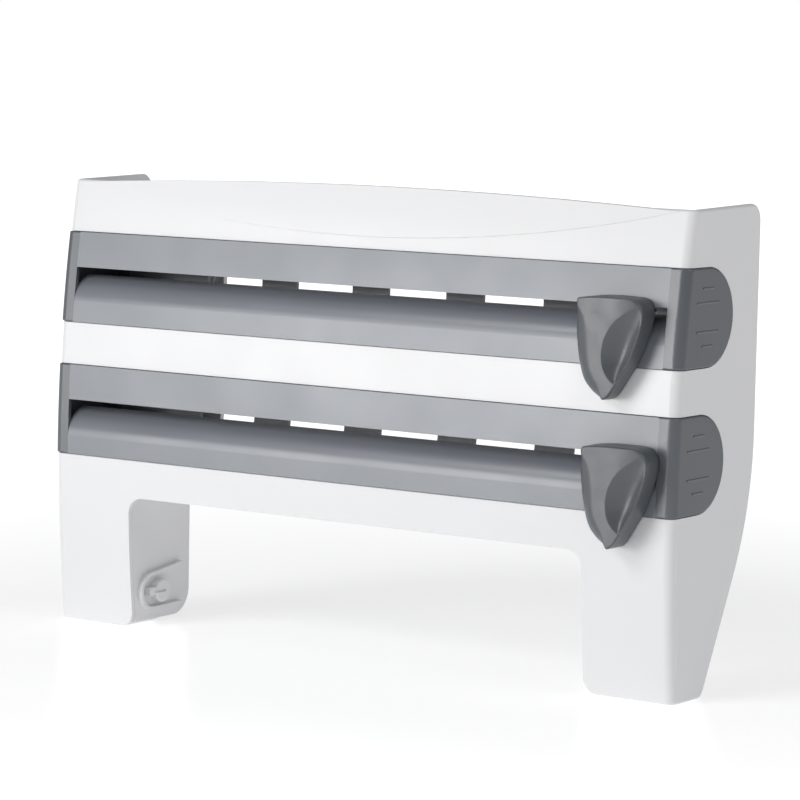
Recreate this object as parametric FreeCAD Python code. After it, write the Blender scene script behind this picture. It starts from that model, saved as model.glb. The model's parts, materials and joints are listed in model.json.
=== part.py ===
"""Wall-mounted cling film and foil dispenser with two pull-out drawers and a towel-roll bay.

Frame: X runs along the width, +Y points into the wall, +Z is up. The back face lies on Y = 0 and
the origin is the centre of the four wall screws. All sizes are in millimetres.
"""
import FreeCAD, Part
import math
import os

from FreeCAD import Vector

# ---------------------------------------------------------------- driving dimensions
WIDTH = 391.0                  # across the white side walls
TOP = 88.7                     # top of the side walls at the front
SIDE_RISE = 1.8                # they rise by this much towards the wall
HEIGHT = 241.7                 # side wall top to leg bottom
BOTTOM = TOP - HEIGHT
WALL = 2.5                     # white moulding wall
HALF = WIDTH / 2

TOP_DEPTH = 64.7               # the bowed front face: depth at the top, at its fullest and at the feet
BOW_DEPTH = 78.5
BOW_Z = -63.0
FOOT_DEPTH = 73.0
CORNER_R = 5.0                 # rounding of the two front corners of the housing

BACK_BEND_Z = -23.0            # the back edge leaves the wall here
BACK_BEND_R = 160.0
BACK_SLANT = 27.0              # degrees from the vertical at the feet

ARCH_TOP = -81.0               # underside of the apron
LEG_GAP = 288.0                # between the two inner leg faces
ARCH_R = 9.0
FOOT_CORNER_R = 8.0
RIM_R = 1.6                    # rounding of the top and foot edges
BACK_TOP_R = 9.0
LEG_PANEL_BACK = -24.5         # rear edge of the inner leg panels
LEG_PANEL_FOOT = BOTTOM + 3.0

DRAWER_PITCH = 72.0            # between the centres of the two drawers, also the screw rows
DRAWER_HEIGHT = 48.8
DRAWER_PROUD = 0.8             # the drawer fronts stand out of the white face by this much
DRAWER_OVERHANG = 0.5          # and the end caps out of the white sides
DRAWER_WALL = 2.2
DRAWER_TRAVEL = 48.0
GAP = 0.4                      # clearance round each drawer
CAP_INNER = 186.0              # where the end caps begin
CAP_OUTER = HALF + DRAWER_OVERHANG
CAP_WALL = 2.5
CAP_CORNER_R = 5.0
CAP_EDGE_R = 0.8
RIDGE_R = 0.9                  # finger ridges on the end caps
RIDGE_PROUD = 0.3
RIDGE_SHIFT = -1.0             # their middle, from the axis of the drawer's round back
FINGER_RIDGES = ((14.5, 5.0), (7.4, 10.5), (-6.8, 10.5), (-13.8, 5.0))    # height and half length

SLOT_LOW = 0.9                 # film slot, measured from the drawer's centre height
SLOT_HIGH = 5.4
LIP_R = 15.7                   # rounded lip that the film passes over
LIP_END_ANGLE = 100.0
COVER_DEPTH = 12.0
TROUGH_BACK_TOP = 12.0         # top of the trough's rear wall above the drawer's centre
WINDOW_WIDTH = 37.0
WINDOW_PITCH = 60.0
WINDOW_SHIFT = 8.0             # the row of windows sits off centre, towards the parked cutter
WINDOW_HEIGHT = 18.0
WINDOW_CORNER_R = 2.0

RAIL_DEPTH = 9.0               # cutter rail, a C-channel open downwards
RAIL_WALL = 1.2
RAIL_LOW = 9.0
RAIL_MOUTH = 3.8

KNOB_PROUD = 14.5
KNOB_GAP = 0.6
UPPER_KNOB_X = 161.0
LOWER_KNOB_X = 168.6

SCREW_SPACING_X = 300.0        # wall screws
SCREW_HOLE_R = 2.25
FRAME_THICKNESS = 3.0

TRAY_FLOOR = 63.6
TRAY_THICKNESS = 2.0
LIP_RISE = 4.1                 # arched front lip of the shelf above the side walls
LIP_DROP = 21.7                # and how far its lower edge sags
LIP_HALF = 187.0
LIP_END_DROP = 1.0             # the lip's pointed ends lie just below the side wall tops
FIT = 0.4                      # between the housing and the pieces that sit inside it
BOND = 0.2                     # between two pieces that are glued or clipped face to face
BEYOND = 20.0                  # how far cutting shapes reach past the surface they cut

PEG_R = 6.4                    # towel roll pegs
PEG_Y = -52.5
PEG_Z = -134.3
PEG_OUT = 5.0


# ---------------------------------------------------------------- small helpers
def circle_through(a, b, c):
    """Centre and radius of the circle through three (y, z) points."""
    ax, ay = a
    bx, by = b
    cx, cy = c
    d = 2 * (ax * (by - cy) + bx * (cy - ay) + cx * (ay - by))
    a2, b2, c2 = ax * ax + ay * ay, bx * bx + by * by, cx * cx + cy * cy
    y = (a2 * (by - cy) + b2 * (cy - ay) + c2 * (ay - by)) / d
    z = (a2 * (cx - bx) + b2 * (ax - cx) + c2 * (bx - ax)) / d
    return y, z, math.hypot(ax - y, ay - z)


FRONT_CY, FRONT_CZ, FRONT_R = circle_through(
    (-TOP_DEPTH, TOP), (-BOW_DEPTH, BOW_Z), (-FOOT_DEPTH, BOTTOM))


def front_y(z, inset=0.0):
    """Y of the bowed front face at height z, moved in towards the wall by inset."""
    return FRONT_CY - math.sqrt((FRONT_R - inset) ** 2 - (z - FRONT_CZ) ** 2)


def back_y(z):
    """Y of the housing's rear outline at height z."""
    if z >= BACK_BEND_Z:
        return 0.0
    angle = math.radians(BACK_SLANT)
    bend_end = BACK_BEND_Z - BACK_BEND_R * math.sin(angle)
    if z >= bend_end:
        return math.sqrt(BACK_BEND_R ** 2 - (z - BACK_BEND_Z) ** 2) - BACK_BEND_R
    return BACK_BEND_R * (math.cos(angle) - 1) - (bend_end - z) * math.tan(angle)


def box(x0, x1, y0, y1, z0, z1):
    return Part.makeBox(x1 - x0, y1 - y0, z1 - z0, Vector(x0, y0, z0))


def cylinder(radius, start, end):
    start, end = Vector(*start), Vector(*end)
    return Part.makeCylinder(radius, (end - start).Length, start, end - start)


def line(a, b):
    return Part.LineSegment(Vector(0, *a), Vector(0, *b)).toShape()


def arc(a, through, b):
    return Part.Arc(Vector(0, *a), Vector(0, *through), Vector(0, *b)).toShape()


def prism_x(edges, x0, x1):
    """Solid from a closed outline in the YZ plane, swept from x0 to x1."""
    face = Part.Face(Part.Wire(edges))
    face.translate(Vector(x0, 0, 0))
    return face.extrude(Vector(x1 - x0, 0, 0))


def front_layer(inset_out, inset_in, z0, z1, x0, x1):
    """Curved slab that follows the front face between two insets."""
    middle = (z0 + z1) / 2
    outer = [(front_y(z, inset_out), z) for z in (z0, middle, z1)]
    inner = [(front_y(z, inset_in), z) for z in (z1, middle, z0)]
    return prism_x([arc(*outer), line(outer[2], inner[0]), arc(*inner), line(inner[2], outer[0])], x0, x1)


def fillet(shape, radius, picks):
    edges = [edge for edge in shape.Edges if picks(edge)]
    return shape.makeFillet(radius, edges)


def fuse(shapes):
    return shapes[0].multiFuse(shapes[1:]).removeSplitter()


def mirror_x(shape):
    return shape.mirror(Vector(0, 0, 0), Vector(1, 0, 0))


def save(name, shapes):
    """Write one node; a list of solids becomes one node of separate solids."""
    shape = shapes if not isinstance(shapes, list) else Part.makeCompound(shapes)
    for solid in shape.Solids:
        if not solid.isValid() or solid.Volume < 1.0:
            raise ValueError("bad solid in " + name)
    if not isinstance(shapes, list) and len(shape.Solids) != 1:
        raise ValueError("%s has %d solids" % (name, len(shape.Solids)))
    shape.exportStep("parts/%s.step" % name)


# ---------------------------------------------------------------- housing
def side_outline(inset):
    """Edges of the housing's side profile, moved inwards by inset at the front and foot."""
    angle = math.radians(BACK_SLANT)
    bend = (BACK_BEND_R * (math.cos(angle) - 1), BACK_BEND_Z - BACK_BEND_R * math.sin(angle))
    half = math.radians(BACK_SLANT / 2)
    bend_mid = (BACK_BEND_R * (math.cos(half) - 1), BACK_BEND_Z - BACK_BEND_R * math.sin(half))
    foot_z = BOTTOM + inset
    foot_back = (back_y(foot_z), foot_z)
    foot_front = (front_y(foot_z, inset), foot_z)
    top_front = (front_y(TOP, inset), TOP)
    middle = (TOP + BOTTOM) / 2
    top_back = (0, TOP + SIDE_RISE)
    return [line(top_back, (0, BACK_BEND_Z)), arc((0, BACK_BEND_Z), bend_mid, bend),
            line(bend, foot_back), line(foot_back, foot_front),
            arc(foot_front, (front_y(middle, inset), middle), top_front), line(top_front, top_back)]


def is_front_corner(edge):
    """The two long curved edges between the front face and the sides."""
    box_ = edge.BoundBox
    return box_.XLength < 0.01 and box_.ZLength > HEIGHT * 0.8 and box_.YMax < -TOP_DEPTH / 2


def housing_block(inset, radius):
    block = prism_x(side_outline(inset), -HALF + inset, HALF - inset)
    return fillet(block, radius, is_front_corner)


def is_outer_rim(edge):
    """The edges round the open top and under the feet, without those on the wall side."""
    box_ = edge.BoundBox
    flat = box_.ZMin > TOP - 0.1 or box_.ZMax < BOTTOM + 0.1
    return flat and box_.YMin < back_y(BOTTOM) - 5


def leg_bay():
    """The space under the apron, with rounded upper corners and rounded feet beside it."""
    half = LEG_GAP / 2
    depth = BOW_DEPTH + BEYOND
    bay = box(-half, half, -depth, depth, BOTTOM - BEYOND, ARCH_TOP)
    bay = fillet(bay, ARCH_R, lambda e: e.BoundBox.YLength > depth and e.BoundBox.ZMin > ARCH_TOP - 1)
    for side in (-1, 1):
        edge_x = side * half
        corner = box(min(edge_x, edge_x + side * ARCH_R), max(edge_x, edge_x + side * ARCH_R),
                     -depth, depth, BOTTOM - BEYOND, BOTTOM + ARCH_R)
        round_ = cylinder(ARCH_R, (edge_x + side * ARCH_R, -depth, BOTTOM + ARCH_R),
                          (edge_x + side * ARCH_R, depth, BOTTOM + ARCH_R))
        bay = bay.fuse(corner.cut(round_))
    return bay


def foot_corner(side):
    """What the rounded rear corner of a foot takes off its side wall and floor."""
    r = FOOT_CORNER_R
    slant = math.radians(BACK_SLANT)
    turn = (math.pi / 2 - slant) / 2
    reach = r * math.tan(turn)
    corner = (back_y(BOTTOM), BOTTOM)
    on_floor = (corner[0] - reach, BOTTOM)
    on_back = (corner[0] + reach * math.sin(slant), BOTTOM + reach * math.cos(slant))
    centre = (on_floor[0], BOTTOM + r)
    away = math.atan2(corner[1] - centre[1], corner[0] - centre[0])
    middle = (centre[0] + r * math.cos(away), centre[1] + r * math.sin(away))
    outside = (corner[0] + 5, BOTTOM - 5)
    edges = [arc(on_floor, middle, on_back), line(on_back, (outside[0] + 5, on_back[1])),
             line((outside[0] + 5, on_back[1]), outside), line(outside, (on_floor[0], outside[1])),
             line((on_floor[0], outside[1]), on_floor)]
    x0, x1 = sorted((side * (LEG_GAP / 2 - 1), side * (HALF + 1)))
    return prism_x(edges, x0, x1)


def top_corner(side):
    """What the rounded rear top corner takes off a side wall."""
    r = BACK_TOP_R
    x0, x1 = sorted((side * (HALF - WALL - 1), side * (HALF + 1)))
    high = TOP + SIDE_RISE
    corner = box(x0, x1, -r, 1, high - r, high + 1)
    return corner.cut(cylinder(r, (x0, -r, high - r), (x1, -r, high - r)))


def lens(clearance):
    """Lens-shaped prism between the arched top edge and the sagging seam of the shelf's front lip."""
    half = LIP_HALF + clearance
    y = -BOW_DEPTH - BEYOND
    ends = [Vector(x, y, TOP - LIP_END_DROP) for x in (-half, half)]
    top = Vector(0, y, TOP + LIP_RISE)
    low = Vector(0, y, TOP - LIP_DROP - clearance)
    wire = Part.Wire([Part.Arc(ends[0], top, ends[1]).toShape(), Part.Arc(ends[1], low, ends[0]).toShape()])
    return Part.Face(wire).extrude(Vector(0, BOW_DEPTH, 0))


BOSS_X = 185.0
BOSS_R = 4.5
BOSS_DEPTH = 16.0
BOSS_WEB = 1.2                 # half thickness of the web that ties a post to its side wall
BOSS_HEIGHTS = (57.0, 0.0, -71.0)
LEDGE_WIDTH = 4.0              # ledges on the side walls that carry the tray
LEDGE_DEPTH = 2.2
LEDGE_FRONT = -60.0
LEDGE_BACK = -6.0
OVERLAP = 0.5                  # how deep a rib is rooted in the wall it stands on


def boss_points():
    """Screw posts that hold the back frame, as (x, y at the frame's front face, z)."""
    return [(side * BOSS_X, back_y(z) - FRAME_THICKNESS, z) for side in (-1, 1) for z in BOSS_HEIGHTS]


def drawer_notch(centre_z):
    """Clearance that lets a drawer slide out of the front and sides of the housing."""
    reach = HALF + BEYOND
    notch = prism_x(drawer_outline(centre_z, -GAP), -reach, reach)
    front = box(-reach, reach, -BOW_DEPTH - BEYOND, drawer_y(centre_z),
                centre_z - DRAWER_HEIGHT / 2 - GAP, centre_z + DRAWER_HEIGHT / 2 + GAP)
    return notch.fuse(front)


def housing_shell():
    block = fillet(housing_block(0, CORNER_R), RIM_R, is_outer_rim)
    shell = block.cut(housing_block(WALL, CORNER_R - WALL))
    inside = HALF - WALL
    shell = shell.cut(box(-inside, inside, front_y(TOP, WALL), 1, TOP - 1, TOP + SIDE_RISE + 1))
    for side in (-1, 1):
        shell = shell.cut(top_corner(side))
    shell = shell.cut(leg_bay()).cut(lens(0.1))
    for side in (-1, 1):
        shell = shell.cut(foot_corner(side))
    for x, y, z in boss_points():
        x0, x1 = sorted((x, math.copysign(inside + OVERLAP, x)))
        end = back_y(z - BOSS_R) - FRAME_THICKNESS - 0.1
        web = box(x0, x1, y - BOSS_DEPTH, end, z - BOSS_WEB, z + BOSS_WEB)
        boss = cylinder(BOSS_R, (x, y - BOSS_DEPTH, z), (x, end, z))
        pilot = cylinder(FRAME_SCREW_R, (x, y - FRAME_SCREW_LENGTH, z), (x, y, z))
        shell = shell.fuse([web, boss]).cut(pilot)
    for side in (-1, 1):
        x0, x1 = sorted((side * (inside - LEDGE_WIDTH), side * (inside + OVERLAP)))
        shell = shell.fuse(box(x0, x1, LEDGE_FRONT, LEDGE_BACK, TRAY_FLOOR - LEDGE_DEPTH, TRAY_FLOOR))
    for centre_z in DRAWER_CENTRES:
        shell = shell.cut(drawer_notch(centre_z))
    return shell.removeSplitter()


# ---------------------------------------------------------------- shelf
TRAY_WEB = 2.0                 # thickness of the tray's rims
BACK_RIM = 10.0                # height of its rear rim above the tray floor
END_RIM = 5.0
END_RIM_START = 8.0            # the end rims begin this far behind the front wall
ROOT_R = 2.0                   # fillet where the floor meets the front upstand
LIP_PROUD = 0.3
CORNER_RELIEF = 4.0            # the floor steps down this near the two front corners
RELIEF_DEPTH = 0.4


def tray_root(inside, floor_top):
    """Hollow fillet along the foot of the front upstand."""
    y = front_y(floor_top, WALL + BOND + TRAY_WEB)
    block = box(-inside, inside, y - TRAY_WEB / 2, y + ROOT_R,
                floor_top - TRAY_THICKNESS / 2, floor_top + ROOT_R)
    axis = (y + ROOT_R, floor_top + ROOT_R)
    return block.cut(cylinder(ROOT_R, (-inside, *axis), (inside, *axis)))


def shelf_tray():
    inside = HALF - WALL - FIT
    floor_top = TRAY_FLOOR + TRAY_THICKNESS
    rear = -FRAME_THICKNESS - FIT
    front = front_y(TRAY_FLOOR, WALL + BOND)
    inner = WALL + BOND + TRAY_WEB
    floor = box(-inside, inside, front, rear, TRAY_FLOOR, floor_top)
    for side in (-1, 1):
        x0, x1 = sorted((side * (inside - CORNER_R), side * HALF))
        relief = box(x0, x1, front - 1, front + CORNER_RELIEF, floor_top - RELIEF_DEPTH, floor_top + 1)
        floor = floor.cut(relief)
    upstand = front_layer(WALL + BOND, inner, TRAY_FLOOR, TOP - 1, -inside + CORNER_R, inside - CORNER_R)
    root = tray_root(inside - CORNER_R, floor_top)
    back_rim = box(-inside, inside, rear - TRAY_WEB, rear, TRAY_FLOOR, floor_top + BACK_RIM)
    rim = box(inside - TRAY_WEB, inside, front + END_RIM_START, rear, TRAY_FLOOR, floor_top + END_RIM)
    lip = front_layer(-LIP_PROUD, inner, TOP - LIP_DROP - 2, TOP + LIP_RISE + 1, -HALF, HALF).common(lens(0))
    tray = fuse([floor, upstand, root, back_rim, lip, rim, mirror_x(rim)])
    corner = box(-HALF, HALF, -BOW_DEPTH, front + END_RIM_START, TRAY_FLOOR - 1, floor_top + 0.1)
    rounded = housing_block(WALL + 0.3, CORNER_R - WALL)
    return tray.cut(corner.cut(rounded).cut(lens(BOND)))


# ---------------------------------------------------------------- back frame and its screws
FRAME_SCREW_R = 1.5
FRAME_SCREW_LENGTH = 12.0
FRAME_HEAD_R = 3.0
FRAME_HEAD_DEPTH = 1.6
POST_HALF = 11.0
RAILS = ((62.0, 82.0), (-10.0, 10.0), (-78.0, -62.0))
OPENING_R = 5.0
WALL_BOSS_R = 6.0
WALL_BOSS_DEPTH = 5.5
SCREW_CLEARANCE = 0.2
CROSS_LONG = 1.6               # cross recess of a screw head
CROSS_SHORT = 0.3
CROSS_FLOOR = 0.5


def wall_screw_points():
    return [(side * SCREW_SPACING_X / 2, z) for side in (-1, 1) for z in DRAWER_CENTRES]


def back_frame():
    top, low = RAILS[0][1], RAILS[-1][0]
    half = HALF - WALL - FIT
    middle = (BACK_BEND_Z + low) / 2
    outer = [(back_y(z), z) for z in (BACK_BEND_Z, middle, low)]
    inner = [(y - FRAME_THICKNESS, z) for y, z in outer]
    edges = [line((0, top), outer[0]), arc(*outer), line(outer[2], inner[2]), arc(*reversed(inner)),
             line(inner[0], (-FRAME_THICKNESS, top)), line((-FRAME_THICKNESS, top), (0, top))]
    frame = prism_x(edges, -half, half)
    opening_half = SCREW_SPACING_X / 2 - POST_HALF
    for (low_z, _), (_, high_z) in zip(RAILS, RAILS[1:]):
        opening = box(-opening_half, opening_half, -BEYOND, BEYOND, high_z, low_z)
        frame = frame.cut(fillet(opening, OPENING_R, lambda e: e.BoundBox.YLength > BEYOND))
    for x, z in wall_screw_points():
        boss = cylinder(WALL_BOSS_R, (x, -WALL_BOSS_DEPTH, z), (x, 0, z))
        frame = frame.fuse(boss).cut(cylinder(SCREW_HOLE_R, (x, -BEYOND, z), (x, BEYOND, z)))
    for x, y, z in boss_points():
        seat_y = y + FRAME_THICKNESS - FRAME_HEAD_DEPTH
        hole = cylinder(FRAME_SCREW_R + SCREW_CLEARANCE, (x, y - 1, z), (x, y + BEYOND, z))
        seat = cylinder(FRAME_HEAD_R + SCREW_CLEARANCE, (x, seat_y, z), (x, y + BEYOND, z))
        frame = frame.cut(hole).cut(seat)
    return frame.removeSplitter()


def frame_screws():
    screws = []
    for x, y, z in boss_points():
        seat = y + FRAME_THICKNESS - FRAME_HEAD_DEPTH
        shank = cylinder(FRAME_SCREW_R, (x, y - FRAME_SCREW_LENGTH + 0.5, z), (x, seat, z))
        head = cylinder(FRAME_HEAD_R, (x, seat, z), (x, seat + FRAME_HEAD_DEPTH - 0.3, z))
        screw = shank.fuse(head)
        for half_x, half_z in ((CROSS_LONG, CROSS_SHORT), (CROSS_SHORT, CROSS_LONG)):
            screw = screw.cut(box(x - half_x, x + half_x, seat + CROSS_FLOOR, seat + BEYOND,
                                  z - half_z, z + half_z))
        screws.append(screw.removeSplitter())
    return screws


# ---------------------------------------------------------------- decks that carry the drawers
DECK_THICKNESS = 2.0
RUNNER_X = 150.0
RUNNER_HALF = 9.0
RUNNER_THICKNESS = 2.0
RUNNER_ROOT = 4.0              # the tongue starts this far in front of the drawer's round back
RUNNER_BACK = -9.5            # rear end of the runner tongue with the drawer shut
HOOK_STEM = 2.4                # half width of a hook's stem, and of its foot
HOOK_HALF = 4.5
HOOK_DEPTH = 4.0               # half length of a hook along the travel
HOOK_FOOT = 1.4


def deck(centre_z):
    """Plate under a drawer; its two slots take the hooks that stop and hold down the drawer."""
    top = centre_z - DRAWER_HEIGHT / 2 - GAP
    half = HALF - WALL - FIT
    front = front_y(top, WALL + 0.3)
    rear = back_y(top - DECK_THICKNESS) - FRAME_THICKNESS - 0.3
    plate = box(-half, half, front, rear, top - DECK_THICKNESS, top)
    plate = fillet(plate, CORNER_R - WALL, lambda e: e.BoundBox.ZLength > 1 and e.BoundBox.XLength < 0.01
                   and e.BoundBox.YMax < front + 0.01)
    for side in (-1, 1):
        x = side * RUNNER_X
        hook_y = RUNNER_BACK - HOOK_DEPTH + drawer_shift(centre_z)
        reach = HOOK_DEPTH + GAP
        slot = box(x - HOOK_STEM - GAP, x + HOOK_STEM + GAP, hook_y - DRAWER_TRAVEL - reach, hook_y + reach,
                   top - BEYOND, top + BEYOND)
        plate = plate.cut(slot)
    return plate


# ---------------------------------------------------------------- inner leg panels and roll pegs
PANEL_RISE = 4.0               # a panel reaches this far up behind the apron
PANEL_CORNER_R = 14.0
PANEL_KEEP_FRONT = -60.0       # behind this the panel follows its own outline, not the front's
GUIDE_RIB = 3.0                # the roll guide stands this far out of the panel
GUIDE_HALF_WALL = 0.9
GUIDE_R = 9.5                  # half height of the guide's round front
GUIDE_FRONT = -6.5             # from the peg's axis to the centre of that rounding
GUIDE_BACK = 18.5
GUIDE_RISE = 3.6               # the guide widens towards the wall: upwards and downwards
GUIDE_DROP = 0.6
PEG_STEM_R = PEG_R * 0.6
PEG_CATCH = 0.6                # the snap ring on the stem is wider by this
PEG_CATCH_END = 1.5
PEG_RIM_R = 1.0
TAB_REACH = 4.2                # tab on the front of the peg
TAB_HALF = 2.2
PEG_SLOT_HALF = 0.7
PEG_SLOT_DEPTH = 1.0
PEG_SLOT_END = 1.5


def leg_panel(side):
    inner = LEG_GAP / 2
    panel_top = ARCH_TOP + PANEL_RISE
    front = front_y(panel_top, WALL + BOND)
    plate = box(inner, inner + WALL, front - CORNER_R, LEG_PANEL_BACK, LEG_PANEL_FOOT, panel_top)
    plate = fillet(plate, PANEL_CORNER_R, lambda e: e.BoundBox.YMin > LEG_PANEL_BACK - 0.01
                   and e.BoundBox.ZMax < LEG_PANEL_FOOT + 0.01)
    keep = housing_block(WALL + BOND, CORNER_R)
    keep = keep.fuse(box(0, HALF, PANEL_KEEP_FRONT, BEYOND, BOTTOM + WALL + BOND, panel_top))
    plate = plate.common(keep)
    guide = roll_guide(inner - GUIDE_RIB, inner + OVERLAP, GUIDE_HALF_WALL)
    guide = guide.cut(roll_guide(inner - GUIDE_RIB - 1, inner + 1, -GUIDE_HALF_WALL))
    hole = cylinder(PEG_STEM_R, (inner - 1, PEG_Y, PEG_Z), (inner + 2 * WALL, PEG_Y, PEG_Z))
    panel = plate.fuse(guide).cut(hole).removeSplitter()
    return panel if side > 0 else mirror_x(panel)


def roll_guide(x0, x1, grow):
    """Funnel that is open to the wall side and rounded at the front; grow widens it all round."""
    r = GUIDE_R + grow
    nose_y, z = PEG_Y + GUIDE_FRONT, PEG_Z
    back = PEG_Y + GUIDE_BACK
    if grow < 0:
        back += GUIDE_RIB
    top_back, low_back = (back, z + r + GUIDE_RISE), (back, z - r + GUIDE_DROP)
    edges = [line((nose_y, z + r), top_back), line(top_back, low_back), line(low_back, (nose_y, z - r)),
             arc((nose_y, z - r), (nose_y - r, z), (nose_y, z + r))]
    return prism_x(edges, x0, x1)


def roll_peg(side):
    """Push-in peg that carries one end of a towel roll, with a cross slot in its face."""
    inner = LEG_GAP / 2
    peg = cylinder(PEG_R, (inner - PEG_OUT, PEG_Y, PEG_Z), (inner, PEG_Y, PEG_Z))
    peg = fillet(peg, PEG_RIM_R, lambda e: e.BoundBox.XMax < inner - PEG_OUT + 0.01)
    stem_end = inner + WALL + PEG_CATCH_END
    stem = cylinder(PEG_STEM_R - 0.05, (inner - 1, PEG_Y, PEG_Z), (stem_end, PEG_Y, PEG_Z))
    catch = cylinder(PEG_STEM_R + PEG_CATCH, (inner + WALL + 0.1, PEG_Y, PEG_Z), (stem_end, PEG_Y, PEG_Z))
    face, tab_y = inner - PEG_OUT, PEG_Y - PEG_R - TAB_REACH
    tab = box(face + PEG_RIM_R, inner - BOND, tab_y, PEG_Y, PEG_Z - TAB_HALF, PEG_Z + TAB_HALF)
    slot = box(face - 1, face + PEG_SLOT_DEPTH, tab_y - 1, PEG_Y + PEG_SLOT_END,
               PEG_Z - PEG_SLOT_HALF, PEG_Z + PEG_SLOT_HALF)
    body = fuse([peg, stem, catch, tab]).cut(slot)
    return body if side > 0 else mirror_x(body)


# ---------------------------------------------------------------- drawers
DRAWER_CENTRES = (DRAWER_PITCH / 2, -DRAWER_PITCH / 2)
DRAWER_DEPTH = 48.0            # front face at mid height to the back of the round end


def drawer_y(centre_z):
    """Y of the axis of the drawer's round back."""
    return front_y(centre_z, -DRAWER_PROUD) + DRAWER_DEPTH - DRAWER_HEIGHT / 2


def drawer_shift(centre_z):
    """How far a drawer lies forward of the upper one."""
    return drawer_y(centre_z) - drawer_y(DRAWER_CENTRES[0])


def drawer_outline(centre_z, inset):
    """D-shaped section: bowed front, flat top and bottom, round back."""
    half = DRAWER_HEIGHT / 2 - inset
    y = drawer_y(centre_z)
    front = [(front_y(z, inset - DRAWER_PROUD), z) for z in (centre_z - half, centre_z, centre_z + half)]
    return [arc(*front), line(front[2], (y, centre_z + half)),
            arc((y, centre_z + half), (y + half, centre_z), (y, centre_z - half)),
            line((y, centre_z - half), front[0])]


def lip_sector(centre_z):
    """Rounded lip in the trough's front edge, tangent to the drawer front."""
    outer_r = FRONT_R + DRAWER_PROUD
    lip_z = centre_z + SLOT_LOW - LIP_R * math.sin(math.radians(LIP_END_ANGLE))
    lip_y = FRONT_CY - math.sqrt((outer_r - LIP_R) ** 2 - (lip_z - FRONT_CZ) ** 2)
    start = math.atan2(lip_z - FRONT_CZ, lip_y - FRONT_CY) % (2 * math.pi)
    end = math.radians(LIP_END_ANGLE)
    middle = (start + end) / 2

    def at(radius, angle):
        return lip_y + radius * math.cos(angle), lip_z + radius * math.sin(angle)

    small = LIP_R - DRAWER_WALL
    edges = [arc(at(LIP_R, start), at(LIP_R, middle), at(LIP_R, end)),
             line(at(LIP_R, end), at(small, end)),
             arc(at(small, end), at(small, middle), at(small, start)),
             line(at(small, start), at(LIP_R, start))]
    lip = prism_x(edges, -CAP_INNER, CAP_INNER)
    tip = at(LIP_R - DRAWER_WALL / 2, end)
    bead = cylinder(DRAWER_WALL / 2, (-CAP_INNER, *tip), (CAP_INNER, *tip))
    return lip.fuse(bead), at(LIP_R, start)[1], tip[0]


def trough(centre_z):
    """Open-topped trough for the roll, with windows in its round back and two runner tongues."""
    y = drawer_y(centre_z)
    span = CAP_INNER
    ring = prism_x(drawer_outline(centre_z, 0), -span, span)
    ring = ring.cut(prism_x(drawer_outline(centre_z, DRAWER_WALL), -span, span))
    lip, lip_start, _ = lip_sector(centre_z)
    ring = ring.cut(box(-span, span, y, 0, centre_z + TROUGH_BACK_TOP, TOP))
    ring = ring.cut(box(-span, span, -BOW_DEPTH - BEYOND, y, lip_start, TOP))
    for index in range(-2, 3):
        x = index * WINDOW_PITCH + WINDOW_SHIFT
        window = box(x - WINDOW_WIDTH / 2, x + WINDOW_WIDTH / 2, y, 0,
                     centre_z - WINDOW_HEIGHT / 2, centre_z + WINDOW_HEIGHT / 2)
        ring = ring.cut(fillet(window, WINDOW_CORNER_R, lambda e: e.BoundBox.YLength > WINDOW_HEIGHT))
    parts = [ring, lip]
    bottom = centre_z - DRAWER_HEIGHT / 2
    back = RUNNER_BACK + drawer_shift(centre_z)
    for side in (-1, 1):
        x = side * RUNNER_X
        tongue_top = bottom + RUNNER_THICKNESS
        parts.append(box(x - RUNNER_HALF, x + RUNNER_HALF, y - RUNNER_ROOT, back, bottom, tongue_top))
        foot_top = bottom - GAP - DECK_THICKNESS - GAP
        foot_low = foot_top - HOOK_FOOT
        front = back - 2 * HOOK_DEPTH
        parts.append(box(x - HOOK_STEM, x + HOOK_STEM, front, back, foot_low, (bottom + tongue_top) / 2))
        parts.append(box(x - HOOK_HALF, x + HOOK_HALF, front, back, foot_low, foot_top))
    return fuse(parts)


def cover_bar(centre_z):
    """Flat bar above the film slot, with a flange over the cutter rail."""
    low, high = centre_z + SLOT_HIGH, centre_z + DRAWER_HEIGHT / 2
    bar = front_layer(-DRAWER_PROUD, DRAWER_WALL - DRAWER_PROUD, low, high, -CAP_INNER, CAP_INNER)
    top_front = front_y(high, -DRAWER_PROUD)
    flange = box(-CAP_INNER, CAP_INNER, top_front + OVERLAP, top_front + COVER_DEPTH,
                 high - DRAWER_WALL, high)
    bar = fuse([bar, flange])
    y = rail_y(centre_z)
    for x in RAIL_SCREW_XS:
        bar = bar.cut(cylinder(RAIL_SCREW_R + 0.15, (x, y, high - COVER_DEPTH), (x, y, high + COVER_DEPTH)))
    return bar


def end_cap(centre_z, side):
    """D-shaped end of a drawer with a rim that frames the front, and four finger ridges outside."""
    cap = prism_x(drawer_outline(centre_z, 0), CAP_INNER, CAP_OUTER)
    cap = fillet(cap, CAP_CORNER_R, lambda e: e.BoundBox.XMin > CAP_OUTER - 0.01
                 and e.BoundBox.YMax < drawer_y(centre_z) - 10 and e.BoundBox.ZLength > 10)
    cap = fillet(cap, CAP_EDGE_R, lambda e: e.BoundBox.XMin > CAP_OUTER - 0.01)
    cap = cap.cut(prism_x(drawer_outline(centre_z, DRAWER_WALL), CAP_INNER - 1, CAP_OUTER - CAP_WALL))
    x, y = CAP_OUTER + RIDGE_PROUD - RIDGE_R, drawer_y(centre_z) + RIDGE_SHIFT
    for offset, half in FINGER_RIDGES:
        z = centre_z + offset
        cap = cap.fuse(cylinder(RIDGE_R, (x, y - half, z), (x, y + half, z)))
    cap = cap.removeSplitter()
    return cap if side > 0 else mirror_x(cap)


RAIL_SCREW_XS = (-150.0, 0.0, 150.0)
RAIL_SCREW_R = 1.2
RAIL_SCREW_SUNK = 0.8


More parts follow.
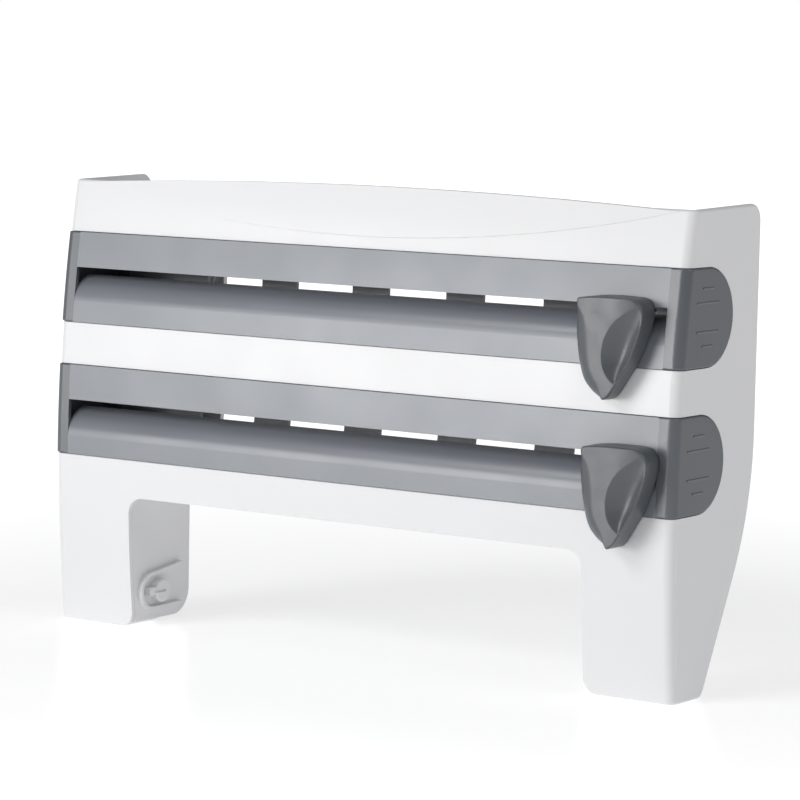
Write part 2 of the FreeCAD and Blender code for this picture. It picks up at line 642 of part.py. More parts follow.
def rail_y(centre_z):
    """Middle of the cutter rail, which hangs under the cover bar's flange."""
    return front_y(centre_z + DRAWER_HEIGHT / 2, -DRAWER_PROUD) + COVER_DEPTH - RAIL_DEPTH / 2


def cutter_rail(centre_z):
    y = rail_y(centre_z)
    low, high = centre_z + RAIL_LOW, centre_z + DRAWER_HEIGHT / 2 - DRAWER_WALL
    half = RAIL_DEPTH / 2
    span = CAP_INNER - 0.2
    rail = box(-span, span, y - half, y + half, low, high)
    rail = rail.cut(box(-span, span, y - half + RAIL_WALL, y + half - RAIL_WALL,
                        low + RAIL_WALL, high - RAIL_WALL))
    rail = rail.cut(box(-span, span, y - RAIL_MOUTH / 2, y + RAIL_MOUTH / 2, low - 1, low + RAIL_WALL + 1))
    for x in RAIL_SCREW_XS:
        rail = rail.cut(cylinder(RAIL_SCREW_R, (x, y, high - RAIL_WALL - 1), (x, y, high + 1)))
    return rail


def rail_screws(centre_z):
    y = rail_y(centre_z)
    high = centre_z + DRAWER_HEIGHT / 2
    return [cylinder(RAIL_SCREW_R, (x, y, high - DRAWER_WALL - RAIL_WALL), (x, y, high - RAIL_SCREW_SUNK))
            for x in RAIL_SCREW_XS]


# ---------------------------------------------------------------- cutters
SHOE_HALF = 14.0
SHOE_GAP = 0.35                # running clearance of the shoe in its rail
ARM_HALF = 13.0
ARM_LOW = 1.6
ARM_HIGH = 4.9
NECK_HALF_X = 8.0
NECK_HALF_Y = 1.6
BLADE_HALF = 15.5
BLADE_THICKNESS = 0.5
BLADE_SPACING = 2.0            # in front of the neck
BLADE_COVER = 0.45             # plastic above and below the blade
SCOOP_R = 12.0


def cutter_shoe(centre_z, x):
    """Shoe that runs in the rail; its neck drops through the rail's mouth into the knob's arm."""
    y = rail_y(centre_z)
    low = centre_z + RAIL_LOW + RAIL_WALL + SHOE_GAP
    high = centre_z + DRAWER_HEIGHT / 2 - DRAWER_WALL - RAIL_WALL - SHOE_GAP
    half_y = RAIL_DEPTH / 2 - RAIL_WALL - SHOE_GAP
    shoe = box(x - SHOE_HALF, x + SHOE_HALF, y - half_y, y + half_y, low, high)
    neck = box(x - NECK_HALF_X, x + NECK_HALF_X, y - NECK_HALF_Y, y + NECK_HALF_Y,
               centre_z + ARM_LOW, low + 1)
    return fuse([shoe, neck])


KNOB_CURVE = ((-13.0, 9.6), (-3.1, 10.2), (6.0, 10.1), (13.4, 9.6), (17.5, 6.6), (18.8, 1.6), (16.9, -9.0),
              (12.6, -20.7), (7.2, -30.2), (2.2, -38.0), (-1.6, -40.6), (-5.2, -40.7), (-9.2, -38.9),
              (-13.2, -35.9), (-16.6, -31.8), (-19.2, -25.0), (-21.6, -14.0), (-22.5, -3.0), (-21.2, 4.6),
              (-17.8, 8.4))
KNOB_LEFT = -22.5
KNOB_TOP = 10.3
KNOB_TIP = -41.0
KNOB_SECTIONS = ((0.0, 0.0, 0.0), (0.3, 0.9, 0.2), (0.6, 3.6, 0.5), (0.82, 7.2, 1.1), (0.94, 10.6, 2.2),
                 (1.0, 13.6, 3.6))      # share of the depth, how far the left flank and the rest come in
SCOOP_LOW = (3.4, -30.5)       # axis of the thumb scoop, from the knob's centre
SCOOP_HIGH = (10.5, -10.0)
SCOOP_LOW_DEPTH = 1.8
SCOOP_HIGH_DEPTH = 3.6


def knob_outline(centre_z, x, y, left_in, shrink):
    """Teardrop seen from the front; left_in draws in its left flank and shrink the whole of it."""
    middle = (KNOB_TOP + KNOB_TIP) / 2
    scale = 1 - shrink / (middle - KNOB_TIP)
    points = []
    for dx, dz in KNOB_CURVE:
        drawn = dx + left_in * max(0.0, dx / KNOB_LEFT) ** 0.8
        points.append(Vector(x + drawn * scale, y, centre_z + middle + (dz - middle) * scale))
    curve = Part.BSplineCurve()
    curve.interpolate(points, PeriodicFlag=True)
    return Part.Wire([curve.toShape()])


def thumb_scoop(centre_z, x, front):
    """Long round-ended hollow that leans with the knob's right flank."""
    low = (x + SCOOP_LOW[0], front - SCOOP_R + SCOOP_LOW_DEPTH, centre_z + SCOOP_LOW[1])
    high = (x + SCOOP_HIGH[0], front - SCOOP_R + SCOOP_HIGH_DEPTH, centre_z + SCOOP_HIGH[1])
    return cylinder(SCOOP_R, low, high).fuse(Part.makeSphere(SCOOP_R, Vector(*high)))


def cutter_knob(centre_z, x):
    """Finger knob with a thumb scoop, and the flat arm behind it that reaches through the slot."""
    inset = -DRAWER_PROUD - KNOB_GAP
    top, tip = centre_z + KNOB_TOP, centre_z + KNOB_TIP
    front = front_y(centre_z, inset - KNOB_PROUD)
    back = front_y(top, inset)
    outlines = [knob_outline(centre_z, x, back + (front - back) * share, left_in, shrink)
                for share, left_in, shrink in KNOB_SECTIONS]
    body = Part.makeLoft(outlines, True)
    wide = 2 * KNOB_LEFT
    body = body.cut(front_layer(inset, inset + BEYOND, tip - 2, top + 2, x + wide, x - wide))
    body = body.cut(thumb_scoop(centre_z, x, front))
    y = rail_y(centre_z)
    arm = box(x - ARM_HALF, x + ARM_HALF, front_y(centre_z, inset) - 1, y + RAIL_DEPTH / 2 - OVERLAP,
              centre_z + ARM_LOW, centre_z + ARM_HIGH)
    neck = box(x - NECK_HALF_X, x + NECK_HALF_X, y - NECK_HALF_Y, y + NECK_HALF_Y,
               centre_z + ARM_LOW - 1, centre_z + ARM_HIGH + 1)
    return body.fuse(arm).cut(neck).cut(blade_blank(centre_z, x)).removeSplitter()


def blade_blank(centre_z, x):
    """Six-sided blade set upright in the arm; its two pointed ends cut in both directions."""
    y = rail_y(centre_z) - NECK_HALF_Y - BLADE_SPACING
    low, high = centre_z + ARM_LOW + BLADE_COVER, centre_z + ARM_HIGH - BLADE_COVER
    middle = (low + high) / 2
    points = [(x - BLADE_HALF, middle), (x - ARM_HALF, low), (x + ARM_HALF, low),
              (x + BLADE_HALF, middle), (x + ARM_HALF, high), (x - ARM_HALF, high)]
    wire = Part.makePolygon([Vector(px, y, pz) for px, pz in points + points[:1]])
    return Part.Face(wire).extrude(Vector(0, BLADE_THICKNESS, 0))


# ---------------------------------------------------------------- all nodes
def main():
    os.makedirs("parts", exist_ok=True)
    save("housing_shell", housing_shell())
    save("shelf_tray", shelf_tray())
    save("back_frame", back_frame())
    save("frame_screws", frame_screws())
    for side, word in ((-1, "left"), (1, "right")):
        save("leg_panel_" + word, leg_panel(side))
        save("roll_peg_" + word, roll_peg(side))
    for name, centre_z, knob_x in zip(("upper", "lower"), DRAWER_CENTRES, (UPPER_KNOB_X, LOWER_KNOB_X)):
        save(name + "_deck", deck(centre_z))
        save(name + "_trough", trough(centre_z))
        save(name + "_cover_bar", cover_bar(centre_z))
        save(name + "_end_cap_left", end_cap(centre_z, -1))
        save(name + "_end_cap_right", end_cap(centre_z, 1))
        save(name + "_cutter_rail", cutter_rail(centre_z))
        save(name + "_rail_screws", rail_screws(centre_z))
        save(name + "_cutter_knob", cutter_knob(centre_z, knob_x))
        save(name + "_cutter_shoe", cutter_shoe(centre_z, knob_x))
        save(name + "_cutter_blade", blade_blank(centre_z, knob_x))


main()
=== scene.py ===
"""Looks of the wall-mounted cling film dispenser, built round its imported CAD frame.

The CAD nodes keep their shape and get procedural materials. Only the two cutter knobs are
replaced, by finer ones with the same outline, and their arms come as pieces of their own.
Lengths are in metres, apart from the shapes of the knob and its arm, which are in mm.
"""
import json
import math

import bpy
from mathutils import Matrix, Vector


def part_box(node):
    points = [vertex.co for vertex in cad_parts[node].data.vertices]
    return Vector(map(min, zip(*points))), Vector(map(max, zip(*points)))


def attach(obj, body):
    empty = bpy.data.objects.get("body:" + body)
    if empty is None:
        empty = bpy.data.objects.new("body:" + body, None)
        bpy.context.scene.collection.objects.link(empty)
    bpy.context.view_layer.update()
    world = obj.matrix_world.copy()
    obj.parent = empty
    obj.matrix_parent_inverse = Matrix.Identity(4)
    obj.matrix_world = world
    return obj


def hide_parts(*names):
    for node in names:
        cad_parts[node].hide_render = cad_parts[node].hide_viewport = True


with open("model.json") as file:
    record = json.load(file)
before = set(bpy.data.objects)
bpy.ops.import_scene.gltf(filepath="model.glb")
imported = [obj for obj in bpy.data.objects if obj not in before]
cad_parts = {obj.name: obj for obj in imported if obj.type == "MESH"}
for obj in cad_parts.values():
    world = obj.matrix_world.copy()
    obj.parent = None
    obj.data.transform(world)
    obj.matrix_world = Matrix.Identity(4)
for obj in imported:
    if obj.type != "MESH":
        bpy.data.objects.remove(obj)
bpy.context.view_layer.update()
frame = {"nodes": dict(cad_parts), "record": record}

FLOOR_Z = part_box("housing_shell")[0].z
MM = 0.001
MICRON = 0.000001
WHITE = (1, 1, 1, 1)

# ------------------------------------------------------------------ camera
CAMERA_PLACE = Vector((1.020, -1.5025, 0.168))
CAMERA_AZIMUTH = 34.71         # degrees, from the object's front towards its right side
CAMERA_ELEVATION = 6.015       # degrees
CAMERA_ROLL = 1.117            # degrees
CAMERA_LENS = 154.0            # mm
CAMERA_SENSOR = 36.0           # mm


def direction(azimuth, elevation):
    """Unit vector from the object towards a place at this azimuth and elevation, in degrees."""
    a, e = math.radians(azimuth), math.radians(elevation)
    return Vector((math.sin(a) * math.cos(e), -math.cos(a) * math.cos(e), math.sin(e)))


def add_camera():
    """Camera that looks back along its own direction, with a slight roll."""
    back = direction(CAMERA_AZIMUTH, CAMERA_ELEVATION)
    level = direction(CAMERA_AZIMUTH + 90, 0)
    turn = Matrix((level, back.cross(level), back)).transposed().to_4x4()
    roll = Matrix.Rotation(math.radians(CAMERA_ROLL), 4, "Z")
    camera = bpy.data.objects.new("camera", bpy.data.cameras.new("camera"))
    camera.data.lens = CAMERA_LENS
    camera.data.sensor_width = CAMERA_SENSOR
    camera.matrix_world = Matrix.Translation(CAMERA_PLACE) @ turn @ roll
    bpy.context.scene.collection.objects.link(camera)
    bpy.context.scene.camera = camera


# ------------------------------------------------------------------ materials
NOISE_LOW = 0.3                # colour and roughness change between these two noise values
NOISE_HIGH = 0.7
SCRATCH_WAVES = 900            # scratches: waves in a metre across them
SCRATCH_STRETCH = (1.0, 1.0, 0.015)
SCRATCH_START = 0.68           # noise value where a scratch begins, and where it's at full depth
SCRATCH_FULL = 0.74
PATCH_WAVES = 22               # soft patches that the scratches keep to
PATCH_START = 0.52
PATCH_FULL = 0.70


class Look:
    """A Principled material with helpers that add procedural detail in object space."""

    def __init__(self, name, colour, roughness, metallic=0.0):
        self.material = bpy.data.materials.new(name)
        self.material.use_nodes = True
        self.nodes = self.material.node_tree.nodes
        self.shader = self.nodes["Principled BSDF"]
        self.place = self.add("ShaderNodeTexCoord")
        self.normal = None
        self.set("Base Color", (*colour, 1))
        self.set("Roughness", roughness)
        self.set("Metallic", metallic)

    def add(self, kind, **settings):
        node = self.nodes.new(kind)
        for key, value in settings.items():
            setattr(node, key, value)
        return node

    def set(self, socket, value):
        self.shader.inputs[socket].default_value = value

    def link(self, start, end):
        self.material.node_tree.links.new(start, end)

    def noise(self, waves, detail=2.0, stretch=(1, 1, 1), turn=(0, 0, 0)):
        """Value of a 3-D noise with this many waves in a metre."""
        mapping = self.add("ShaderNodeMapping")
        mapping.inputs["Scale"].default_value = stretch
        mapping.inputs["Rotation"].default_value = turn
        self.link(self.place.outputs["Object"], mapping.inputs["Vector"])
        noise = self.add("ShaderNodeTexNoise")
        noise.inputs["Scale"].default_value = waves
        noise.inputs["Detail"].default_value = detail
        self.link(mapping.outputs["Vector"], noise.inputs["Vector"])
        return noise.outputs["Fac"]

    def remap(self, value, low, high, to_low, to_high):
        node = self.add("ShaderNodeMapRange")
        for index, number in enumerate((low, high, to_low, to_high), start=1):
            node.inputs[index].default_value = number
        self.link(value, node.inputs[0])
        return node.outputs[0]

    def multiply(self, a, b):
        node = self.add("ShaderNodeMath", operation="MULTIPLY")
        self.link(a, node.inputs[0])
        self.link(b, node.inputs[1])
        return node.outputs[0]

    def bump(self, height, depth, strength):
        """Stack one more layer of surface relief on those before."""
        node = self.add("ShaderNodeBump")
        node.inputs["Strength"].default_value = strength
        node.inputs["Distance"].default_value = depth
        self.link(height, node.inputs["Height"])
        if self.normal:
            self.link(self.normal, node.inputs["Normal"])
        self.normal = node.outputs["Normal"]
        self.link(self.normal, self.shader.inputs["Normal"])

    def vary_roughness(self, value, low, high):
        rough = self.remap(value, NOISE_LOW, NOISE_HIGH, low, high)
        self.link(rough, self.shader.inputs["Roughness"])

    def vary_colour(self, value, dark, light):
        mix = self.add("ShaderNodeMix", data_type="RGBA")
        mix.inputs["A"].default_value = (*dark, 1)
        mix.inputs["B"].default_value = (*light, 1)
        self.link(self.remap(value, NOISE_LOW, NOISE_HIGH, 0.0, 1.0), mix.inputs["Factor"])
        self.link(mix.outputs["Result"], self.shader.inputs["Base Color"])

    def scratches(self, turn):
        """Sparse hairline marks: thin where a long stretched noise peaks inside soft patches."""
        lines = self.noise(SCRATCH_WAVES, 1.0, SCRATCH_STRETCH, turn)
        patches = self.noise(PATCH_WAVES)
        thin = self.remap(lines, SCRATCH_START, SCRATCH_FULL, 0.0, 1.0)
        return self.multiply(thin, self.remap(patches, PATCH_START, PATCH_FULL, 0.0, 1.0))


def white_plastic():
    """Moulded white with a faint clear shine."""
    look = Look("white_plastic_look", (0.87, 0.87, 0.875), roughness=0.34)
    look.vary_colour(look.noise(9, detail=3), (0.862, 0.864, 0.872), (0.878, 0.878, 0.882))
    look.vary_roughness(look.noise(35, detail=4), 0.29, 0.40)
    look.bump(look.noise(1400), depth=20 * MICRON, strength=0.5)
    look.bump(look.noise(14, detail=1), depth=600 * MICRON, strength=0.12)
    look.bump(look.scratches((0.3, 0.9, 0.2)), depth=20 * MICRON, strength=0.25)
    look.set("Coat Weight", 0.15)
    look.set("Coat Roughness", 0.12)
    return look.material


def grey_plastic(name, dark, light):
    """Moulded blue-grey between two close tones, for the drawers, and in a darker copy as painted
    shade on the end caps.
    """
    look = Look(name, light, roughness=0.3)
    look.vary_colour(look.noise(11, detail=3), dark, light)
    look.vary_roughness(look.noise(28, detail=4), 0.28, 0.35)
    look.set("Specular IOR Level", 1.0)
    look.bump(look.noise(1800), depth=15 * MICRON, strength=0.5)
    look.bump(look.noise(12, detail=1), depth=600 * MICRON, strength=0.10)
    look.bump(look.scratches((0.2, 1.45, 0.1)), depth=20 * MICRON, strength=0.25)
    return look.material


def knob_plastic():
    look = Look("knob_plastic_look", (0.085, 0.094, 0.104), roughness=0.38)
    look.vary_colour(look.noise(60, detail=3), (0.080, 0.089, 0.099), (0.090, 0.099, 0.110))
    look.vary_roughness(look.noise(150, detail=4), 0.33, 0.42)
    look.set("Specular IOR Level", 0.85)
    look.bump(look.noise(2200), depth=10 * MICRON, strength=0.5)
    look.bump(look.scratches((0.5, 0.3, 0.8)), depth=20 * MICRON, strength=0.3)
    return look.material


def shoe_plastic():
    look = Look("shoe_plastic_look", (0.03, 0.03, 0.033), roughness=0.55)
    look.vary_roughness(look.noise(180, detail=3), 0.48, 0.66)
    look.bump(look.noise(1500, detail=3), depth=30 * MICRON, strength=0.6)
    return look.material


def aluminium():
    """Drawn aluminium: everything is stretched along the rail."""
    look = Look("rail_aluminium_look", (0.80, 0.81, 0.82), roughness=0.32, metallic=1.0)
    look.vary_roughness(look.noise(700, detail=3, stretch=(0.02, 1, 1)), 0.24, 0.44)
    tone = look.noise(40, detail=3, stretch=(0.2, 1, 1))
    look.vary_colour(tone, (0.76, 0.77, 0.78), (0.83, 0.84, 0.85))
    look.bump(look.noise(2600, stretch=(0.01, 1, 1)), depth=10 * MICRON, strength=0.6)
    return look.material


def blade_steel():
    """Ground steel: the grinding marks stand upright."""
    look = Look("blade_steel_look", (0.70, 0.71, 0.73), roughness=0.25, metallic=1.0)
    look.vary_roughness(look.noise(900, detail=3, stretch=(1, 1, 0.05)), 0.18, 0.36)
    look.bump(look.noise(3500, stretch=(1, 1, 0.03)), depth=8 * MICRON, strength=0.6)
    return look.material


def screw_steel():
    look = Look("screw_steel_look", (0.68, 0.67, 0.64), roughness=0.3, metallic=1.0)
    look.vary_colour(look.noise(500, detail=3), (0.60, 0.59, 0.56), (0.74, 0.73, 0.70))
    look.vary_roughness(look.noise(800, detail=3), 0.24, 0.42)
    look.bump(look.noise(3000), depth=10 * MICRON, strength=0.5)
    return look.material


LOOKS = {
    "white_plastic": white_plastic(),
    "knob_plastic": knob_plastic(),
    "grey_plastic": grey_plastic("grey_plastic_look", (0.186, 0.202, 0.228), (0.196, 0.212, 0.240)),
    # the drawer grey made darker for the end caps: painted shade for their sides, which face away
    # from the light
    "cap_painted_shade_grey": grey_plastic("cap_painted_shade_look", (0.099, 0.110, 0.125), (0.109, 0.120, 0.136)),
    "shoe_plastic": shoe_plastic(),
    "rail_aluminium": aluminium(),
    "blade_steel": blade_steel(),
    "screw_steel": screw_steel(),
}


def paint_cad():
    """Give each CAD node the look of its slot; the end caps get a darker grey as painted shade for
    their sides.
    """
    slots = {part["node"]: part["material_slot"] for part in frame["record"]["subparts"]}
    # the end caps take the darker grey, which is painted shade
    slots.update({node: "cap_painted_shade_grey" for node in slots if "end_cap" in node})
    for name, node in frame["nodes"].items():
        for index in range(len(node.data.materials)):
            node.data.materials[index] = LOOKS[slots[name]]


# ------------------------------------------------------------------ light and floor
# name, azimuth and elevation in degrees, distance, width and height in metres, power in watts
SOFTBOXES = (("key", -27.5, 4.5, 2.3, 1.2, 0.78, 16),
             ("top", -20, 34, 2.3, 1.0, 0.7, 11.5),
             ("fill", 85, 38, 1.8, 0.8, 0.8, 5))
AMBIENT = 0.25                 # even light from all round, faintly blue
AMBIENT_COLOUR = (0.965, 0.975, 1.0, 1)
FLOOR_HALF = 60.0
FLOOR_NEAR = 0.56              # glow of the floor beside the object, as the camera sees it
FLOOR_FAR = 1.0                # and where it has faded to the white of the backdrop
FADE_START = 0.25
FADE_END = 1.3
FLOOR_BOUNCE = 0.40            # glow of the floor as it lights the object


def add_softbox(name, azimuth, elevation, distance, width, height, power):
    """Area light seen from the object at the given azimuth and elevation."""
    away = direction(azimuth, elevation)
    light = bpy.data.lights.new(name, "AREA")
    light.shape = "RECTANGLE"
    light.size, light.size_y = width, height
    light.energy = power
    lamp = bpy.data.objects.new(name, light)
    lamp.location = away * distance
    lamp.rotation_mode = "QUATERNION"
    lamp.rotation_quaternion = away.to_track_quat("Z", "Y")
    bpy.context.scene.collection.objects.link(lamp)


def add_world():
    """White backdrop for the camera, and a dimmer even light for everything else."""
    world = bpy.data.worlds.new("studio")
    world.use_nodes = True
    nodes, links = world.node_tree.nodes, world.node_tree.links
    nodes.clear()
    out = nodes.new("ShaderNodeOutputWorld")
    mix = nodes.new("ShaderNodeMixShader")
    path = nodes.new("ShaderNodeLightPath")
    ambient = nodes.new("ShaderNodeBackground")
    backdrop = nodes.new("ShaderNodeBackground")
    ambient.inputs["Color"].default_value = AMBIENT_COLOUR
    ambient.inputs["Strength"].default_value = AMBIENT
    backdrop.inputs["Color"].default_value = WHITE
    links.new(path.outputs["Is Camera Ray"], mix.inputs[0])
    links.new(ambient.outputs[0], mix.inputs[1])
    links.new(backdrop.outputs[0], mix.inputs[2])
    links.new(mix.outputs[0], out.inputs[0])
    bpy.context.scene.world = world
    bpy.context.scene.view_settings.view_transform = "Standard"


def floor_look():
    """Pale satin floor that fades to the white of the backdrop with distance."""
    look = Look("pale_floor", (0.80, 0.80, 0.80), roughness=0.22)
    look.set("Specular IOR Level", 0.25)
    look.set("Emission Color", WHITE)
    length = look.add("ShaderNodeVectorMath", operation="LENGTH")
    look.link(look.place.outputs["Object"], length.inputs[0])
    fade = look.remap(length.outputs["Value"], FADE_START, FADE_END, FLOOR_NEAR, FLOOR_FAR)
    path = look.add("ShaderNodeLightPath")
    glow = look.add("ShaderNodeMix", data_type="FLOAT")
    glow.inputs["A"].default_value = FLOOR_BOUNCE
    look.link(path.outputs["Is Camera Ray"], glow.inputs["Factor"])
    look.link(fade, glow.inputs["B"])
    look.link(glow.outputs["Result"], look.shader.inputs["Emission Strength"])
    return look.material


def add_floor():
    """Flat floor under the feet."""
    around = ((-1, -1), (1, -1), (1, 1), (-1, 1))
    mesh = bpy.data.meshes.new("floor")
    corners = [(x * FLOOR_HALF, y * FLOOR_HALF, FLOOR_Z) for x, y in around]
    mesh.from_pydata(corners, [], [(0, 1, 2, 3)])
    mesh.materials.append(floor_look())
    floor = bpy.data.objects.new("floor", mesh)
    bpy.context.scene.collection.objects.link(floor)


# ------------------------------------------------------------------ sculpted cutter knobs, in mm
KNOB_CENTRES = (("upper", (161.0, 36.0)), ("lower", (168.6, -36.0)))     # x and z
FRONT_POINTS = ((-64.7, 88.7), (-78.5, -63.0), (-73.0, -153.0))     # y and z on the white front
BASE_OUT = 1.4                 # the knob's back stands this far out of the white front
KNOB_DEPTH = 14.4
KNOB_RINGS = 30                # rings of vertices from the back to the rim
FACE_RINGS = 64                # and from the rim to the hub
KNOB_STEPS = 240               # vertices in a ring
KNOB_HUB = Vector((3.5, -6.0))     # the rings of the face close here, from the knob's centre
LEFT_ROUND = 13.0              # how far the rounding of the left flank reaches in
RIM_ROUND = 1.2                # and that of every other side
ROUND_TOWARDS = Vector((-0.93, -0.37))
ROUND_FALLOFF = 1.3
KNOB_CURVE = ((-13.0, 9.5), (-3.1, 10.1), (6.0, 10.0), (13.4, 9.5), (17.4, 6.5), (18.7, 1.6),
              (16.8, -9.0), (12.5, -20.7), (7.1, -30.2), (2.1, -37.9), (-1.6, -40.4),
              (-5.2, -40.5), (-9.2, -38.7), (-13.1, -35.8), (-16.5, -31.8), (-19.1, -25.0),
              (-21.5, -14.0), (-22.4, -3.0), (-21.1, 4.6), (-17.7, 8.3))
CURVE_STEPS = 24               # fine steps between two points of the curve
# left and right edge and depth of the thumb scoop, each by height from the knob's centre
SCOOP_LEFT = ((-32.4, 5.2), (-30.2, 2.4), (-26.0, -0.8), (-20.9, -2.2), (-14.8, -2.1),
              (-7.7, 0.2), (-0.9, 5.4), (3.8, 12.2), (6.4, 16.6))
SCOOP_RIGHT = ((-32.4, 5.6), (-30.7, 6.6), (-26.2, 9.0), (-17.6, 13.3), (-8.8, 16.2),
               (-1.3, 18.2), (6.4, 18.6))
SCOOP_DEPTH = ((-32.4, 0.0), (-30.2, 1.1), (-26.0, 2.9), (-20.9, 4.2), (-14.8, 4.5),
               (-7.7, 3.5), (-0.9, 1.7), (3.8, 0.5), (6.4, 0.0))
SCOOP_LEAN = 1.3               # over 1 sets the deepest line right of the scoop's middle
SCOOP_FULLNESS = 0.8           # under 1 makes the scoop's section fuller than a sine
FACE_TILT = 2.2                # the right rim lies this much deeper than the middle of the face
FACE_TILT_REACH = 18.0
ARM_HALF = 13.0                # half the arm's width
ARM_HEIGHTS = (1.6, 4.9)       # above the knob's centre
ARM_SUNK = 1.0                 # the arm begins this far inside the knob's back
ARM_DEPTH = 10.5


def front_curve():
    """Function for y of the arc through the white front's three points, moved out, at height z."""
    (ay, az), (by, bz), (cy, cz) = FRONT_POINTS
    a2, b2, c2 = ay * ay + az * az, by * by + bz * bz, cy * cy + cz * cz
    d = 2 * (ay * (bz - cz) + by * (cz - az) + cy * (az - bz))
    y0 = (a2 * (bz - cz) + b2 * (cz - az) + c2 * (az - bz)) / d
    z0 = (a2 * (cy - by) + b2 * (ay - cy) + c2 * (by - ay)) / d
    radius = math.hypot(ay - y0, az - z0)
    return lambda z, out: y0 - math.sqrt((radius + out) ** 2 - (z - z0) ** 2)


FRONT_Y = front_curve()


def spline_loop(points, count):
    """Closed Catmull-Rom curve through the points, as count even steps."""
    fine = []
    total = len(points)
    for index in range(total):
        p0, p1, p2, p3 = (Vector(points[(index + k) % total]) for k in (-1, 0, 1, 2))
        for step in range(CURVE_STEPS):
            t = step / CURVE_STEPS
            fine.append(0.5 * (2 * p1 + (p2 - p0) * t + (2 * p0 - 5 * p1 + 4 * p2 - p3) * t * t
                               + (3 * p1 - p0 - 3 * p2 + p3) * t ** 3))
    lengths = [0.0]
    for a, b in zip(fine, fine[1:] + fine[:1]):
        lengths.append(lengths[-1] + (b - a).length)
    loop, at = [], 0
    for index in range(count):
        target = lengths[-1] * index / count
        while lengths[at + 1] < target:
            at += 1
        share = (target - lengths[at]) / (lengths[at + 1] - lengths[at])
        loop.append(fine[at].lerp(fine[(at + 1) % len(fine)], share))
    return loop


def smooth_table(table, at):
    """Value at a place, on a smooth curve through the table's (place, value) pairs."""
    last = len(table) - 1
    for index in range(last):
        (x1, y1), (x2, y2) = table[index], table[index + 1]
        if x1 <= at <= x2:
            x0, y0 = table[max(index - 1, 0)]
            x3, y3 = table[min(index + 2, last)]
            start = (y2 - y0) / (x2 - x0) * (x2 - x1)
            end = (y3 - y1) / (x3 - x1) * (x2 - x1)
            t = (at - x1) / (x2 - x1)
            return ((2 * t ** 3 - 3 * t ** 2 + 1) * y1 + (t ** 3 - 2 * t ** 2 + t) * start
                    + (3 * t ** 2 - 2 * t ** 3) * y2 + (t ** 3 - t ** 2) * end)
    return 0.0


def face_depth(x, z):
    """How far the face lies behind the knob's front plane: the tilt to the right, and the scoop."""
    reach = min(max(x, 0.0) / FACE_TILT_REACH, 1.0)
    depth = FACE_TILT * reach * reach
    if not SCOOP_LEFT[0][0] < z < SCOOP_LEFT[-1][0]:
        return depth
    left, right = smooth_table(SCOOP_LEFT, z), smooth_table(SCOOP_RIGHT, z)
    if not left < x < right:
        return depth
    share = (x - left) / (right - left)
    section = math.sin(math.pi * share ** SCOOP_LEAN) ** SCOOP_FULLNESS
    return depth + smooth_table(SCOOP_DEPTH, z) * section


def round_in(share, reach, depth):
    """How far a quarter-round edge has come in at a share of the knob's height."""
    start = 1 - depth / KNOB_DEPTH
    if share <= start:
        return 0.0
    t = (share - start) / (1 - start)
    return reach * (1 - math.sqrt(max(0.0, 1 - t * t)))


def knob_outline(loop, share):
    """The outline at a share of the knob's height, drawn in by the rounded left flank and rim."""
    points = []
    for index, point in enumerate(loop):
        tangent = loop[(index + 1) % KNOB_STEPS] - loop[index - 1]
        outward = Vector((tangent.y, -tangent.x)).normalized()
        away = point - KNOB_HUB
        if outward.dot(away) < 0:
            outward.negate()
        left = max(0.0, outward.dot(ROUND_TOWARDS)) ** ROUND_FALLOFF
        inward = left * round_in(share, LEFT_ROUND, KNOB_DEPTH)
        inward += (1 - left) * round_in(share, RIM_ROUND, RIM_ROUND)
        points.append(KNOB_HUB + away * (1 - inward / away.length))
    return points


def knob_point(point, share, centre):
    """Part-frame place of an outline point at a share of the knob's height."""
    cx, cz = centre
    x, z = point
    base = FRONT_Y(cz + z, BASE_OUT)
    crown = FRONT_Y(cz, BASE_OUT + KNOB_DEPTH)
    return Vector((cx + x, base + (crown - base + face_depth(x, z)) * share, cz + z))


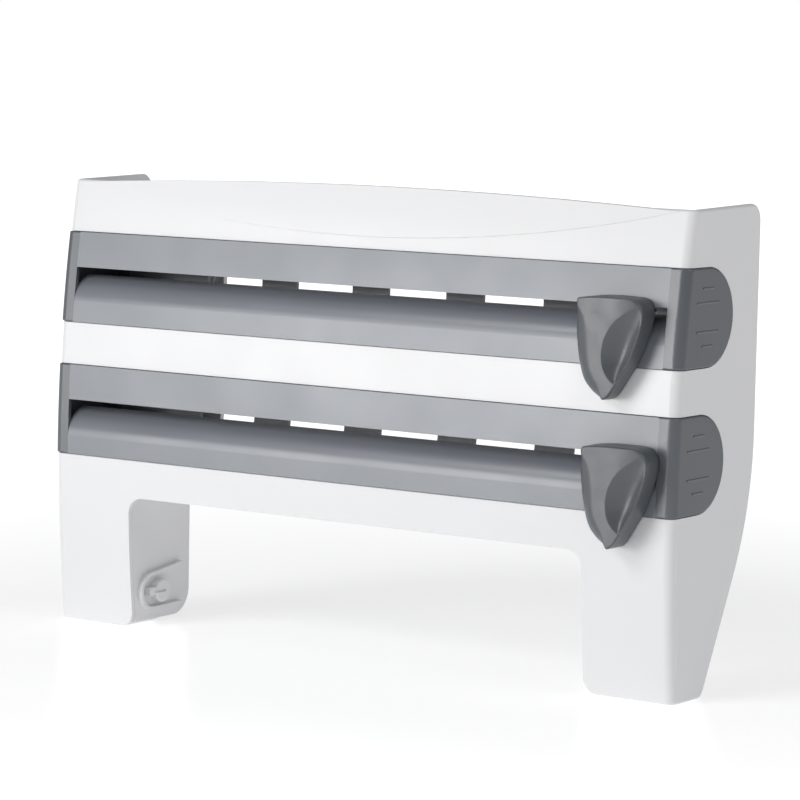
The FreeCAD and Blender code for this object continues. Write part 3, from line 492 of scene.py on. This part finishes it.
def knob_mesh(name, centre):
    """Flanks in rings from the back to the rim, then the scooped face in rings down to the hub."""
    loop = spline_loop(KNOB_CURVE, KNOB_STEPS)
    rim = knob_outline(loop, 1.0)
    vertices, faces = [], []
    for index in range(KNOB_RINGS):
        share = math.sin(0.5 * math.pi * index / (KNOB_RINGS - 1))
        vertices.extend(knob_point(p, share, centre) for p in knob_outline(loop, share))
    for index in range(1, FACE_RINGS):
        scale = 1 - index / FACE_RINGS
        vertices.extend(knob_point(KNOB_HUB + (p - KNOB_HUB) * scale, 1.0, centre) for p in rim)
    hub = len(vertices)
    vertices.append(knob_point(KNOB_HUB, 1.0, centre))
    last = hub - KNOB_STEPS
    for a in range(0, last, KNOB_STEPS):
        b = a + KNOB_STEPS
        for k in range(KNOB_STEPS):
            n = (k + 1) % KNOB_STEPS
            faces.append((a + k, b + k, b + n, a + n))
    faces.extend((last + k, hub, last + (k + 1) % KNOB_STEPS) for k in range(KNOB_STEPS))
    back = tuple(range(KNOB_STEPS))
    faces.append(back)
    mesh = bpy.data.meshes.new(name)
    mesh.from_pydata([v * MM for v in vertices], [], faces)
    for face in mesh.polygons:
        face.use_smooth = len(face.vertices) < len(back)
    return mesh


def arm_mesh(name, centre):
    """Flat arm that carries the knob through the film slot."""
    cx, cz = centre
    front = FRONT_Y(cz, BASE_OUT) - ARM_SUNK
    heights = [cz + height for height in ARM_HEIGHTS]
    corners = [(x, y, z) for z in heights for y in (front, front + ARM_DEPTH)
               for x in (cx - ARM_HALF, cx + ARM_HALF)]
    faces = [(0, 2, 3, 1), (4, 5, 7, 6), (0, 1, 5, 4), (2, 6, 7, 3), (0, 4, 6, 2), (1, 3, 7, 5)]
    mesh = bpy.data.meshes.new(name)
    mesh.from_pydata([Vector(c) * MM for c in corners], [], faces)
    return mesh


def add_piece(mesh, slot, body):
    """Put a mesh in the scene as a piece of this slot and look that moves with the body."""
    piece = bpy.data.objects.new(mesh.name, mesh)
    bpy.context.scene.collection.objects.link(piece)
    mesh.materials.append(LOOKS[slot])
    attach(piece, body)
    return piece


def add_knobs():
    """Sculpted knobs in place of the CAD ones, each with its arm."""
    for level, centre in KNOB_CENTRES:
        body = level + "_cutter"
        knob = add_piece(knob_mesh(level + "_knob_body", centre), "knob_plastic", body)
        add_piece(arm_mesh(level + "_knob_arm", centre), "knob_plastic", body)
        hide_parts(level + "_cutter_knob")


# ------------------------------------------------------------------ the scene
paint_cad()
add_knobs()
add_camera()
add_world()
add_floor()
for softbox in SOFTBOXES:
    add_softbox(*softbox)
